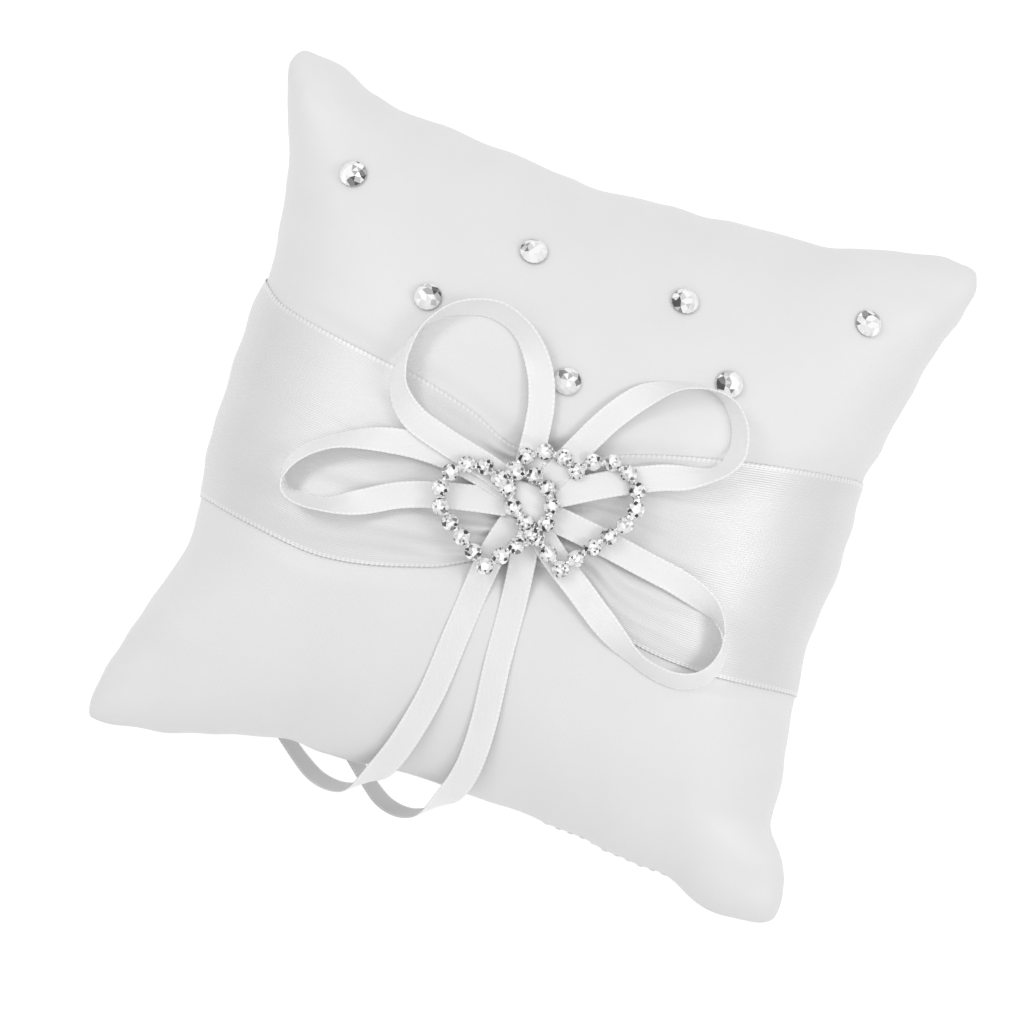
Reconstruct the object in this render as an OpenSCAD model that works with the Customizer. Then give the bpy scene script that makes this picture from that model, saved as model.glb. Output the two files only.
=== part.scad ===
// Ring bearer pillow: a stuffed square cover, a wide satin band with a bow of
// narrow ribbon, a double heart buckle of rhinestones and scattered crystals.
// It lies on its back: +Z is up, +X follows the band, +Y is the edge away from
// the ribbon tails. The origin is the middle of the resting surface.

/* [Cover] */
// Width of the cover from corner to corner along the band
cover_w = 157; // [140:1:170]
// Depth of the cover from corner to corner across the band
cover_d = 151; // [136:1:164]
// Height of the seam above the resting surface
seam_z = 24; // [22:0.5:26]
// Rise of the front panel above the seam
front_rise = 26; // [24:0.5:27]
// Drop of the back panel below the seam, before it flattens on the surface
back_drop = 28; // [26:0.5:30]
// How round the padding is: lower is fuller towards the seams
fullness = 0.5; // [0.46:0.01:0.6]
// How far the left side is pulled in by the band
pull_left = 8; // [4:0.5:10]
// How far the right side is pulled in by the band
pull_right = 11; // [6:0.5:12]
// How far the far side is pulled in
pull_far = 10; // [6:0.5:11]
// How far the near side is pulled in
pull_near = 6.5; // [4:0.5:9]
// Depth of the dimple where the bow is tacked down
dimple = 2.5; // [1.5:0.1:3]
// Thickness of a cover panel with its lining
panel_t = 0.8; // [0.6:0.1:1]

/* [Ribbon] */
// Thickness of the wide band
band_t = 0.8; // [0.6:0.05:0.8]
// Width of the narrow bow ribbon
ribbon_w = 5.6; // [5:0.1:6]
// Thickness of the narrow bow ribbon
ribbon_t = 0.6; // [0.5:0.05:0.7]

/* [Buckle] */
// Diameter of a rhinestone setting
setting_d = 3.6; // [3.4:0.05:3.7]
// Height of the underside of the two hearts
buckle_z = 52; // [52:0.1:53]
// Turn of the hearts seen from above
buckle_turn = 8; // [6:0.5:10]

/* [Crystals] */
// Diameter of a flat-back crystal
crystal_d = 5.8; // [5:0.1:6.4]
// Height of a flat-back crystal
crystal_h = 1.9; // [1.6:0.1:2.2]

/* [Hidden] */

satin = [0.95, 0.95, 0.96];
band_white = [0.92, 0.92, 0.94];
thread_white = [0.97, 0.97, 0.97];
silver = [0.78, 0.79, 0.81];
ice = [0.86, 0.92, 0.97];

half_w = cover_w / 2;
half_d = cover_d / 2;
// Share of the corner that its rounding takes off
corner_cut = 0.02;
dimple_at = [-1, -5];
dimple_r = 16;
// Gap between neighbouring soft pieces
gap = 0.25;
// Level of the underside of the back panel, which lies on the band
rest_z = gap + band_t;

// ---- the padded shape, as a map from the square (u, v) in -1..1 ----

function pull_x(u) = u < 0 ? pull_left : pull_right;
function pull_y(v) = v < 0 ? pull_near : pull_far;
function corner(u, v) = 1 - corner_cut * pow(u * v, 8);
// Point of the plan outline shape; grow moves the edge outwards
function plan(u, v, grow = 0) = corner(u, v) * [
    u * (half_w + grow - pull_x(u) * (1 - v * v)),
    v * (half_d + grow - pull_y(v) * (1 - u * u))
];
function crown(u, v) = pow(max(0, (1 - u * u) * (1 - v * v)), fullness);
function dip(p) = dimple * exp(-pow(norm([p[0], p[1]] - dimple_at) / dimple_r, 2));
function front_z(u, v, p, grow = 0) = seam_z + (front_rise + grow) * crown(u, v) - dip(p) * crown(u, v);
function back_z(u, v, grow = 0) = max(rest_z - grow, seam_z - (back_drop + grow) * crown(u, v));
function front_point(u, v, grow) = let (p = plan(u, v, grow)) [p[0], p[1], front_z(u, v, p, grow)];
function back_point(u, v, grow) = let (p = plan(u, v, grow)) [p[0], p[1], back_z(u, v, grow)];

// The square position of a plan point, found by a few passes
function square_of(p, u = 0, v = 0, passes = 7) = passes == 0 ? [u, v] : square_of(
    p,
    p[0] / (half_w - pull_x(p[0]) * (1 - v * v)),
    p[1] / (half_d - pull_y(p[1]) * (1 - u * u)),
    passes - 1
);
function surface_z(p) = let (s = square_of(p)) front_z(s[0], s[1], p);
// Upward normal of the front at a plan point
function surface_normal(p) = let (
    e = 0.5,
    dx = (surface_z(p + [e, 0]) - surface_z(p - [e, 0])) / (2 * e),
    dy = (surface_z(p + [0, e]) - surface_z(p - [0, e])) / (2 * e)
) unit([-dx, -dy, 1]);
function unit(a) = a / norm(a);

// Closed solid between two grids of (n + 1) x (n + 1) points, upper and lower
module slab(upper, lower, n) {
    row = n + 1;
    size = row * row;
    faces = [
        for (i = [0 : n - 1], j = [0 : n - 1])
            let (a = i * row + j, b = a + row)
                each [[a, a + 1, b + 1], [a, b + 1, b],
                      [size + a, size + b + 1, size + a + 1], [size + a, size + b, size + b + 1]]
    ];
    rim = concat(
        [for (i = [0 : n - 1]) i * row],
        [for (j = [0 : n - 1]) n * row + j],
        [for (i = [n : -1 : 1]) i * row + n],
        [for (j = [n : -1 : 1]) j]
    );
    wall = [
        for (k = [0 : len(rim) - 1])
            let (a = rim[k], b = rim[(k + 1) % len(rim)])
                each [[a, b, size + b], [a, size + b, size + a]]
    ];
    polyhedron(concat(upper, lower), concat(wall, faces));
}

// Grid lines crowd towards the seams
function line_at(i, n) = sin(-90 + 180 * i / n);
function front_grid(n, grow, lift = 0) = [
    for (i = [0 : n], j = [0 : n]) front_point(line_at(i, n), line_at(j, n), grow) + [0, 0, lift]
];
function back_grid(n, grow, lift = 0) = [
    for (i = [0 : n], j = [0 : n]) back_point(line_at(i, n), line_at(j, n), grow) + [0, 0, lift]
];

panel_lines = 22;
fill_lines = 18;

module front_panel() {
    color(satin) slab(front_grid(panel_lines, 0), front_grid(panel_lines, -panel_t), panel_lines);
}

module back_panel() {
    color(satin) slab(back_grid(panel_lines, -panel_t), back_grid(panel_lines, 0), panel_lines);
}

// The filling keeps clear of the seam allowance and its thread
fill_inset = panel_t + 3 * gap + 0.5;
module stuffing() {
    half_edge = 0.2;
    color("white") slab(
        front_grid(fill_lines, -fill_inset, half_edge),
        back_grid(fill_lines, -fill_inset, -half_edge),
        fill_lines
    );
}

// ---- swept tubes ----

function smooth(a, b, c, d, t) = 0.5 * (
    2 * b + (c - a) * t + (2 * a - 5 * b + 4 * c - d) * t * t + (3 * b - a - 3 * c + d) * t * t * t
);
// Points of a smooth curve through the route's points
function curve(route, steps) = let (last = len(route) - 1) concat(
    [for (i = [0 : last - 1], s = [0 : steps - 1]) smooth(
        route[max(i - 1, 0)], route[i], route[i + 1], route[min(i + 2, last)], s / steps
    )],
    [route[last]]
);
function along(path, i, closed = false) = let (n = len(path)) unit(
    closed ? path[(i + 1) % n] - path[(i + n - 1) % n] : path[min(i + 1, n - 1)] - path[max(i - 1, 0)]
);

// Tube whose ring i has the points of rings[i]; ends are closed by flat caps
module tube(rings, closed = false) {
    count = len(rings);
    sides = len(rings[0]);
    spans = closed ? count : count - 1;
    walls = [
        for (i = [0 : spans - 1], k = [0 : sides - 1])
            let (
                a = i * sides + k, b = i * sides + (k + 1) % sides,
                c = ((i + 1) % count) * sides + k, d = ((i + 1) % count) * sides + (k + 1) % sides
            )
                each [[a, d, b], [a, c, d]]
    ];
    caps = closed ? [] : [
        [for (k = [0 : sides - 1]) k],
        [for (k = [sides - 1 : -1 : 0]) (count - 1) * sides + k]
    ];
    polyhedron([for (r = rings) each r], concat(walls, caps));
}

thread_d = 0.5;
module edge_seam_thread() {
    inset = panel_t + gap + thread_d / 2;
    sides = 6;
    n = 20;
    square = concat(
        [for (i = [0 : n - 1]) [line_at(i, n), -1]],
        [for (i = [0 : n - 1]) [1, line_at(i, n)]],
        [for (i = [0 : n - 1]) [-line_at(i, n), 1]],
        [for (i = [0 : n - 1]) [-1, -line_at(i, n)]]
    );
    path = [for (s = square) let (p = plan(s[0], s[1], -inset)) [p[0], p[1], seam_z]];
    color(thread_white) tube([
        for (i = [0 : len(path) - 1])
            let (t = along(path, i, true), side = unit(cross([0, 0, 1], t)))
                [for (k = [0 : sides - 1]) path[i]
                    + thread_d / 2 * (cos(360 * k / sides) * side + sin(360 * k / sides) * [0, 0, 1])]
    ], true);
}

// Slip stitches over the seam, where the cover was closed after filling
stitch_d = 0.4;
module closing_stitches() {
    stitches = 11;
    first_u = 0.3;
    pitch_u = 0.035;
    stitch_h = 1.6;
    clear = 0.05;
    color(thread_white) for (i = [0 : stitches - 1]) {
        p = plan(first_u + i * pitch_u, -1);
        translate([p[0], p[1] - stitch_d / 2 - clear, seam_z - stitch_h / 2])
            cylinder(d = stitch_d, h = stitch_h, $fn = 16);
    }
}

// ---- the wide band ----

// Far and near edge of the band on the front, drawn in towards the bow
band_far = [[-70, 26], [-62, 20.5], [-38, 15], [-30, 14], [-16, 10], [-6, 6], [6, 7], [20, 12],
            [41, 17.2], [67, 22]];
band_near = [[-70, -23], [-56, -26], [-38, -28], [-16, -23.5], [-3, -18], [8, -16.5], [18, -19], [25, -24],
             [34, -26.6], [48, -27.4], [67, -26]];
band_back_far = [[-70, 26], [67, 22]];
band_back_near = [[-70, -23], [67, -26]];
// The band turns round the cover this far inside its corners
band_reach = half_w - 9.5;
// The band wraps the sides this far clear of them
wrap = 0.9;
// Height that the gathered folds add next to the bow
gather_h = 1.3;
gather_r = 17;
band_steps = 64;
band_lines = 8;

// Height of the folds next to the bow at this place along the band
function fold_h(x) = gather_h * exp(-pow(x - dimple_at[0], 2) / pow(gather_r, 2));
// a runs round the band: 0 at the right side, 90 on the front, 180 left, 270 behind
function band_point(a, t, grow) = let (
    u = cos(a),
    x = u * band_reach,
    near = lookup(x, sin(a) < 0 ? band_back_near : band_near),
    far = lookup(x, sin(a) < 0 ? band_back_far : band_far),
    y = near + (t + 1) / 2 * (far - near),
    v = y / (half_d - pull_y(y) * (1 - u * u)),
    p = plan(u, v, grow + wrap * u * u),
    folds = grow > gap ? fold_h(x) * (1 - t * t) : 0
) [p[0], p[1], sin(a) >= 0 ? front_z(u, v, p, grow) + folds : back_z(u, v, grow)];

module wide_band() {
    sides = 2 * (band_lines + 1);
    color(band_white) tube([
        for (i = [0 : band_steps - 1])
            let (a = 360 * i / band_steps)
                concat(
                    [for (j = [0 : band_lines]) band_point(a, -1 + 2 * j / band_lines, gap + band_t)],
                    [for (j = [band_lines : -1 : 0]) band_point(a, -1 + 2 * j / band_lines, gap)]
                )
    ], true);
}

// Row of stitches through the lapped ends of the band, in the middle of the back
module band_lap_stitches() {
    stitches = 9;
    pitch = 4.6;
    row_y = -0.5;
    skin = 0.02;
    color(thread_white) for (i = [0 : stitches - 1])
        translate([0, row_y + (i - (stitches - 1) / 2) * pitch, skin])
            cylinder(d = stitch_d, h = band_t - 2 * skin, $fn = 16);
}

// ---- the bow: routes of the narrow ribbon seen from above ----

upper_left_route = [[-3, 0], [-3.6, 9.5], [-4.6, 16.5], [-7.2, 23], [-12, 28.8], [-18, 31.6], [-24, 31],
                    [-29.5, 28], [-33.6, 22.5], [-34.8, 16], [-33.4, 9.6], [-29, 5.2], [-22, 2.6],
                    [-13, 0.2], [-5.5, -2]];
left_route = [[-5, -3.5], [-14, -1.2], [-24, -0.2], [-33, -1], [-41, -3.4], [-47, -6.8], [-50.6, -10.6],
              [-51.4, -14.2], [-49.4, -17], [-45, -17.9], [-40, -17.2], [-34, -14.8], [-26, -10.8],
              [-16, -8], [-5, -6]];
upper_right_route = [[1.5, 0], [6.5, 10.5], [10.6, 17.8], [15.6, 24], [21.5, 27.9], [27.8, 29.4], [33, 28],
                     [36.6, 23.7], [37.6, 18], [35.2, 13.4], [29.6, 10.4], [23, 8.2], [14, 4], [4, -1.5]];
lower_right_route = [[1.5, -8.5], [8, -14], [15, -19], [21, -23.3], [27, -27.2], [33, -29.8], [39, -30.6],
                     [43.5, -29.4], [46.4, -26.2], [47.2, -21.8], [45.6, -17.4], [41.6, -13.8], [34.5, -11.2],
                     [26, -9.6], [15, -7.6], [4, -6]];
// How far the raised edge of each loop leans over its lower edge
upper_left_lean = [2, 3.2];
left_lean = [1.2, -2.6];
upper_right_lean = [3.4, -0.4];
lower_right_lean = [-1.6, 2.9];

// The tails run over the near edge, bend under it and lie on the resting surface
left_tail_route = [[-2.5, -8.5, 50.2], [-4.6, -16, 50.5], [-5.9, -25, 48.4], [-7, -36, 46.7],
                   [-8.2, -48, 43.3], [-10.4, -58, 38.8], [-12.8, -65, 33.6], [-15.6, -70, 28],
                   [-19, -73.2, 22], [-23, -74.4, 16], [-27.5, -73.8, 10.6], [-32, -71.4, 6.4],
                   [-37, -67.8, 3.8], [-42, -63.8, 2.8], [-47.5, -59.2, 2.6], [-53, -54.6, 2.6]];
right_tail_route = [[0.8, -8.5, 50.2], [1.6, -16, 50.5], [2.4, -25, 48.5], [3, -38, 46.3],
                    [4, -50, 42.6], [4, -59, 38.2], [2.8, -65.4, 33.4], [0.4, -70.4, 27.8],
                    [-2.8, -73.8, 22], [-6.8, -75.4, 16], [-11.4, -74.8, 10.6], [-16, -72, 6.4],
                    [-21, -68, 3.8], [-26.5, -63.2, 2.8], [-32, -58.4, 2.6]];

ribbon_sides = 8;
// Section of the ribbon: across runs over its width, through over its thickness
function ribbon_ring(p, across, through) = [
    for (k = [0 : ribbon_sides - 1])
        let (a = 360 * (k + 0.5) / ribbon_sides)
            p + across * squared(cos(a)) * ribbon_w / 2 + through * squared(sin(a)) * ribbon_t / 2
];
// Turns a round section into a nearly rectangular one
function squared(x) = sign(x) * pow(abs(x), 0.35);
function ramp(x) = let (e = max(0, min(1, x))) e * e * (3 - 2 * e);
// Height of the top of the band and its folds, or of the cover beside the band
function cloth_top(p) = let (
    soft_edge = 3,
    on_band = ramp((lookup(p[0], band_far) - p[1]) / soft_edge + 1)
        * ramp((p[1] - lookup(p[0], band_near)) / soft_edge + 1)
) surface_z(p) + gap + on_band * (band_t + fold_h(p[0]));

// A loop lies flat under the buckle and then stands up on edge
flat_share = 0.15;
upright_share = 0.33;
function stand(i, n) = ramp((min(i, n - i) / n - flat_share) / (upright_share - flat_share));
// Ribbons lie on each other in layers where they meet at the knot
layer_h = ribbon_t + 0.05;

// lean is how far the raised edge reaches over the lower edge
module bow_loop(route, lean, layer) {
    steps = 2;
    flat = curve(route, steps);
    n = len(flat) - 1;
    rise = sqrt(pow(ribbon_w, 2) - pow(norm(lean), 2));
    upright = [lean[0], lean[1], rise] / ribbon_w;
    path = [
        for (i = [0 : n])
            let (s = stand(i, n), lift = (1 - s) * layer * layer_h + s * rise / 2)
                [flat[i][0], flat[i][1], cloth_top(flat[i]) + ribbon_t / 2 + lift]
    ];
    color(band_white) tube([
        for (i = [0 : n])
            let (
                t = along(path, i),
                s = stand(i, n),
                square = unit(cross([0, 0, 1], t)),
                level = square * sign(square[0] * lean[0] + square[1] * lean[1]),
                through = unit(cross(t, upright * s + level * (1 - s))),
                across = cross(through, t)
            )
                ribbon_ring(path[i], across, through)
    ]);
}

module upper_left_loop() {
    bow_loop(upper_left_route, upper_left_lean, 2);
}

module left_loop() {
    bow_loop(left_route, left_lean, 1);
}

module upper_right_loop() {
    bow_loop(upper_right_route, upper_right_lean, 2);
}

module lower_right_loop() {
    bow_loop(lower_right_route, lower_right_lean, 1);
}

// A tail lies face up on the pillow, turns over past the seam and leans under it
across_above = [1, -0.12, 0];
across_below = [0.4, 0.45, -0.8];
turn_from_z = 36;
turn_depth = 30;
module bow_tail(route) {
    steps = 2;
    path = curve(route, steps);
    color(band_white) tube([
        for (i = [0 : len(path) - 1])
            let (
                t = along(path, i),
                below = ramp((turn_from_z - path[i][2]) / turn_depth),
                through = unit(cross(t, across_above * (1 - below) + across_below * below)),
                across = cross(through, t)
            )
                ribbon_ring(path[i], across, through)
    ]);
}

module left_tail() {
    bow_tail(left_tail_route);
}

module right_tail() {
    bow_tail(right_tail_route);
}

knot_at = [-0.5, -4.5];
knot_size = [9, 8, 2];
knot_z = 49.95;

module bow_knot() {
    r = 0.95;
    clear = 0.1;
    color(band_white) difference() {
        hull() for (x = [-1, 1], y = [-1, 1], z = [-1, 1])
            translate([
                knot_at[0] + x * (knot_size[0] / 2 - r),
                knot_at[1] + y * (knot_size[1] / 2 - r),
                knot_z + knot_size[2] / 2 + z * (knot_size[2] / 2 - r)
            ]) sphere(r = r, $fn = 16);
        translate([bar_x - bar_w / 2 - clear, knot_at[1] - knot_size[1], bar_z - clear])
            cube([bar_w + 2 * clear, 2 * knot_size[1], bar_t + 2 * clear]);
        tack_pair(thread_d + 2 * clear);
    }
}

// Two thread legs tack the knot down through the band into the cover
tack_apart = 6;
tack_y = knot_at[1] - 2.6;
tack_z = 45.6;
tack_h = 5.6;
module tack_pair(d) {
    for (x = [-tack_apart / 2, tack_apart / 2])
        translate([knot_at[0] + x, tack_y, tack_z])
            cylinder(d = d, h = tack_h, $fn = 16);
}

module bow_tack_thread() {
    color(thread_white) tack_pair(thread_d);
}

// ---- the double heart buckle ----

plate_t = 1;
plate_w = 2;
cup_h = 1.9;
bar_w = 3;
bar_t = 0.8;
// Room between the bar and the backs of the hearts
bar_room = 0.6;
bar_z = buckle_z - bar_room - bar_t;
bar_x = 0.4;

// A heart is two round lobes and two straight sides that meet at its tip:
// [centre, lobe radius, half distance of the lobes, their height, tip depth, stones]
large_heart = [[7.8, -3.3], 7.5, 6, 3.3, 12.7, 20];
small_heart = [[-7, -9.1], 6.8, 4.9, 2.7, 11, 18];

// Angles on the right lobe, from its notch end down to where its side starts
function lobe_start(h) = acos(-h[2] / h[1]);
function lobe_end(h) = let (dx = h[2], dy = h[3] + h[4]) atan2(-dy, -dx) + acos(h[1] / norm([dx, dy]));
function lobe_length(h) = PI * h[1] * (lobe_start(h) - lobe_end(h)) / 180;
function side_length(h) = sqrt(pow(h[2], 2) + pow(h[3] + h[4], 2) - pow(h[1], 2));
function half_length(h) = lobe_length(h) + side_length(h);
// Point at distance s from the notch along the right half of a heart
function half_point(h, s) = s < lobe_length(h)
    ? let (a = lobe_start(h) - 180 * s / (PI * h[1])) [h[2] + h[1] * cos(a), h[3] + h[1] * sin(a)]
    : let (
        a = lobe_end(h),
        side_top = [h[2] + h[1] * cos(a), h[3] + h[1] * sin(a)],
        share = (s - lobe_length(h)) / side_length(h)
    ) side_top + share * ([0, -h[4]] - side_top);
function heart_point(h, s) = s <= half_length(h)
    ? half_point(h, s)
    : let (p = half_point(h, 2 * half_length(h) - s)) [-p[0], p[1]];
function heart_outline(h, n) = [for (i = [0 : n - 1]) heart_point(h, 2 * half_length(h) * i / n)];

// A heart's own axes in the frame of the pillow
module on_heart(h) {
    translate([h[0][0], h[0][1], buckle_z]) rotate([0, 0, buckle_turn]) children();
}

// Places children at each stone of a heart
module at_stones(h) {
    for (i = [0 : h[5] - 1]) {
        p = heart_point(h, 2 * half_length(h) * i / h[5]);
        translate([p[0], p[1], 0]) children();
    }
}

module heart_plate(h, t, w) {
    outline_points = 56;
    linear_extrude(t) difference() {
        offset(r = w / 2, $fn = 16) polygon(heart_outline(h, outline_points));
        offset(r = -w / 2, $fn = 16) polygon(heart_outline(h, outline_points));
    }
}

module heart_cups(h) {
    cup_wall = 0.35;
    seat_d = 1;
    seat_h = 1.3;
    at_stones(h) difference() {
        cylinder(d = setting_d, h = cup_h, $fn = 20);
        translate([0, 0, cup_h - seat_h])
            cylinder(d1 = seat_d, d2 = setting_d - 2 * cup_wall, h = seat_h + 0.01, $fn = 20);
    }
}

// The large heart is halved where the small one crosses over it
module large_heart_frame() {
    clear = 0.1;
    above = 10;
    color(silver) difference() {
        on_heart(large_heart) {
            heart_plate(large_heart, plate_t, plate_w);
            heart_cups(large_heart);
        }
        on_heart(small_heart) translate([0, 0, plate_t / 2]) {
            heart_plate(small_heart, above, plate_w + clear);
            at_stones(small_heart) cylinder(d = setting_d + clear, h = above, $fn = 20);
        }
    }
}

module small_heart_frame() {
    color(silver) on_heart(small_heart) {
        translate([0, 0, plate_t / 2]) heart_plate(small_heart, plate_t / 2, plate_w);
        translate([0, 0, plate_t / 2]) heart_cups(small_heart);
    }
}

// Bar behind the hearts that the knot is tied to, with a foot at each end
bar_ends = [-13.4, 6.6];
foot_l = 1.6;
module slider_bar() {
    color(silver) translate([bar_x - bar_w / 2, 0, bar_z]) {
        translate([0, bar_ends[0], 0]) cube([bar_w, bar_ends[1] - bar_ends[0], bar_t]);
        for (y = [bar_ends[0], bar_ends[1] - foot_l])
            translate([0, y, 0]) cube([bar_w, foot_l, buckle_z - bar_z]);
    }
}

// A faceted stone: pointed below, with a crown and a flat table
module stone(d) {
    girdle = 0.15;
    crown_h = 0.75;
    pavilion_h = 1.1;
    point_d = 0.2;
    cylinder(d1 = point_d, d2 = d, h = pavilion_h, $fn = 16);
    translate([0, 0, pavilion_h]) cylinder(d = d, h = girdle, $fn = 16);
    translate([0, 0, pavilion_h + girdle]) cylinder(d1 = d, d2 = 0.55 * d, h = crown_h, $fn = 16);
}

stone_d = 2.9;
stone_sink = 0.75;
module large_heart_stones() {
    color(ice) on_heart(large_heart)
        translate([0, 0, cup_h - stone_sink]) at_stones(large_heart) stone(stone_d);
}

module small_heart_stones() {
    color(ice) on_heart(small_heart)
        translate([0, 0, plate_t / 2 + cup_h - stone_sink]) at_stones(small_heart) stone(stone_d);
}

// ---- crystals on the front ----

crystal_places = [
    [-57.3, 51.6], [-15.6, 46.5], [-33.8, 30.4], [17.9, 46], [56.8, 54.2], [-0.7, 21.9], [31.9, 31.9]
];
glue_t = 0.2;
// Height of the glue's underside over the middle of its place on the curved cover
glue_lift = 0.15;

// Moves children on to the front panel and turns them square to it
module on_front(p) {
    n = surface_normal(p);
    translate([p[0], p[1], surface_z(p)])
        rotate([0, acos(n[2]), atan2(n[1], n[0])])
            children();
}

module crystal(i) {
    girdle_h = 0.35;
    table_d = 0.52 * crystal_d;
    color(ice) on_front(crystal_places[i - 1]) translate([0, 0, glue_lift + glue_t]) {
        cylinder(d = crystal_d, h = girdle_h, $fn = 24);
        translate([0, 0, girdle_h])
            cylinder(d1 = crystal_d, d2 = table_d, h = crystal_h - girdle_h, $fn = 24);
    }
}

module glue_dots() {
    color("white") for (p = crystal_places)
        on_front(p) translate([0, 0, glue_lift]) cylinder(d = 0.75 * crystal_d, h = glue_t, $fn = 24);
}

front_panel();
back_panel();
stuffing();
edge_seam_thread();
closing_stitches();
wide_band();
band_lap_stitches();
upper_left_loop();
left_loop();
upper_right_loop();
lower_right_loop();
left_tail();
right_tail();
bow_knot();
bow_tack_thread();
large_heart_frame();
small_heart_frame();
slider_bar();
large_heart_stones();
small_heart_stones();
crystal(1);  // crystal_1
crystal(2);  // crystal_2
crystal(3);  // crystal_3
crystal(4);  // crystal_4
crystal(5);  // crystal_5
crystal(6);  // crystal_6
crystal(7);  // crystal_7
glue_dots();
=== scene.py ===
"""Looks of the ring bearer pillow: cloth, ribbon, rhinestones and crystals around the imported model.
All lengths are in metres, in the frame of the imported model: +Z is up, +X follows the wide band."""
import random
from math import acos, atan2, copysign, cos, exp, hypot, pi, radians, sin, sqrt, tau

import bmesh
import bpy
from mathutils import Matrix, Vector, noise


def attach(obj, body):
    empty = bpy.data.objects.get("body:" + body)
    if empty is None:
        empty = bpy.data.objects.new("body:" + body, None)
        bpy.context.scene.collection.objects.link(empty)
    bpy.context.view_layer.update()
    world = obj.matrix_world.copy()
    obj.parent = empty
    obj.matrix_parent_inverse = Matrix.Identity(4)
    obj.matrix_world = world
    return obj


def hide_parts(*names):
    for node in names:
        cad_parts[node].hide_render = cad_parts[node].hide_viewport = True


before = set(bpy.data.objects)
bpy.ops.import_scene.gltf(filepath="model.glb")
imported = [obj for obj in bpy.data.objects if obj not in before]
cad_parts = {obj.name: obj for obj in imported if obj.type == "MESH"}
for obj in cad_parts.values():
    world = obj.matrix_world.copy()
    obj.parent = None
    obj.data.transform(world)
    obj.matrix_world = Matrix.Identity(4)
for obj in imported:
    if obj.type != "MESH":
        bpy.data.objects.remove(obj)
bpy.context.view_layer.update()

# ---- driving sizes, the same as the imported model's ----

HALF_W = 0.0785
HALF_D = 0.0755
SEAM_Z = 0.024
FRONT_RISE = 0.026
BACK_DROP = 0.028
FULLNESS = 0.5
PULL_LEFT = 0.008
PULL_RIGHT = 0.011
PULL_FAR = 0.010
PULL_NEAR = 0.0065
DIMPLE = 0.0025
DIMPLE_AT = (-0.001, -0.005)
DIMPLE_R = 0.016
GAP = 0.00025
BAND_T = 0.0008
REST_Z = GAP + BAND_T
BAND_FULL_W = 0.049
RIBBON_W = 0.0056
RIBBON_T = 0.0006
LAYER_H = RIBBON_T + 0.00005
GATHER_H = 0.0013
GATHER_R = 0.017
BUCKLE_Z = 0.052
BUCKLE_TURN = 8
CRYSTAL_D = 0.0058
CRYSTAL_H = 0.0019

# ---- small helpers ----

UP = Vector((0, 0, 1))


def ramp(x):
    """0 to 1 with a soft start and end."""
    e = max(0.0, min(1.0, x))
    return e * e * (3 - 2 * e)


def mix(a, b, share):
    return a + (b - a) * share


def lookup(x, knots):
    """Value at x of the straight lines through knots of (position, value)."""
    if x <= knots[0][0]:
        return knots[0][1]
    for (x0, y0), (x1, y1) in zip(knots, knots[1:]):
        if x <= x1:
            return mix(y0, y1, (x - x0) / (x1 - x0))
    return knots[-1][1]


def smooth_lookup(x, knots):
    """Value at x of a smooth curve through knots of (position, value)."""
    if x <= knots[0][0]:
        return knots[0][1]
    if x >= knots[-1][0]:
        return knots[-1][1]
    last = len(knots) - 1
    i = max(k for k in range(last) if knots[k][0] <= x)

    def slope(a, b):
        return (b[1] - a[1]) / (b[0] - a[0])

    step = knots[i + 1][0] - knots[i][0]
    t = (x - knots[i][0]) / step
    start = slope(knots[max(i - 1, 0)], knots[i + 1]) * step
    end = slope(knots[i], knots[min(i + 2, last)]) * step
    rise = knots[i + 1][1] - knots[i][1]
    return knots[i][1] + start * t + (3 * rise - 2 * start - end) * t**2 + (start + end - 2 * rise) * t**3


def through_points(route, steps):
    """Smooth curve through the route's points, with this many steps between two."""
    last = len(route) - 1
    points = [Vector(p) for p in route]
    out = []
    for i in range(last):
        a, b = points[max(i - 1, 0)], points[i]
        c, d = points[i + 1], points[min(i + 2, last)]
        for s in range(steps):
            t = s / steps
            out.append(0.5 * (2 * b + (c - a) * t + (2 * a - 5 * b + 4 * c - d) * t**2
                              + (3 * b - a - 3 * c + d) * t**3))
    out.append(points[last])
    return out


def distances(points):
    """Distance of each point along the line through them."""
    reach = [0.0]
    for a, b in zip(points, points[1:]):
        reach.append(reach[-1] + (b - a).length)
    return reach


def even_steps(reach, count):
    """(distance, index, share) of count even steps along points with these distances."""
    k = 0
    for i in range(count + 1):
        s = reach[-1] * i / count
        while k < len(reach) - 2 and reach[k + 1] < s:
            k += 1
        yield s, k, (s - reach[k]) / max(reach[k + 1] - reach[k], 1e-12)


def direction(path, i):
    return (path[min(i + 1, len(path) - 1)] - path[max(i - 1, 0)]).normalized()


def new_object(name, mesh_or_bmesh, materials, smooth=True):
    """Object from a mesh or a bmesh, with its materials, shaded smooth or flat."""
    if isinstance(mesh_or_bmesh, bmesh.types.BMesh):
        mesh = bpy.data.meshes.new(name)
        mesh_or_bmesh.to_mesh(mesh)
        mesh_or_bmesh.free()
    else:
        mesh = mesh_or_bmesh
    obj = bpy.data.objects.new(name, mesh)
    bpy.context.scene.collection.objects.link(obj)
    for material in materials:
        mesh.materials.append(material)
    for polygon in mesh.polygons:
        polygon.use_smooth = smooth
    return obj


def finish_piece(obj, node):
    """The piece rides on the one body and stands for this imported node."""
    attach(obj, "root")
    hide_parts(node)


def closed_piece(name, bm, material, node, smooth=True):
    """A finished piece from a closed bmesh of one material."""
    bmesh.ops.recalc_face_normals(bm, faces=bm.faces[:])
    obj = new_object(name, bm, [material], smooth)
    finish_piece(obj, node)
    return obj


def ring_of(bm, place, radius, z, sides, turn=0.0):
    return [bm.verts.new(place @ Vector((radius * cos(turn + tau * k / sides),
                                         radius * sin(turn + tau * k / sides), z)))
            for k in range(sides)]


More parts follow.
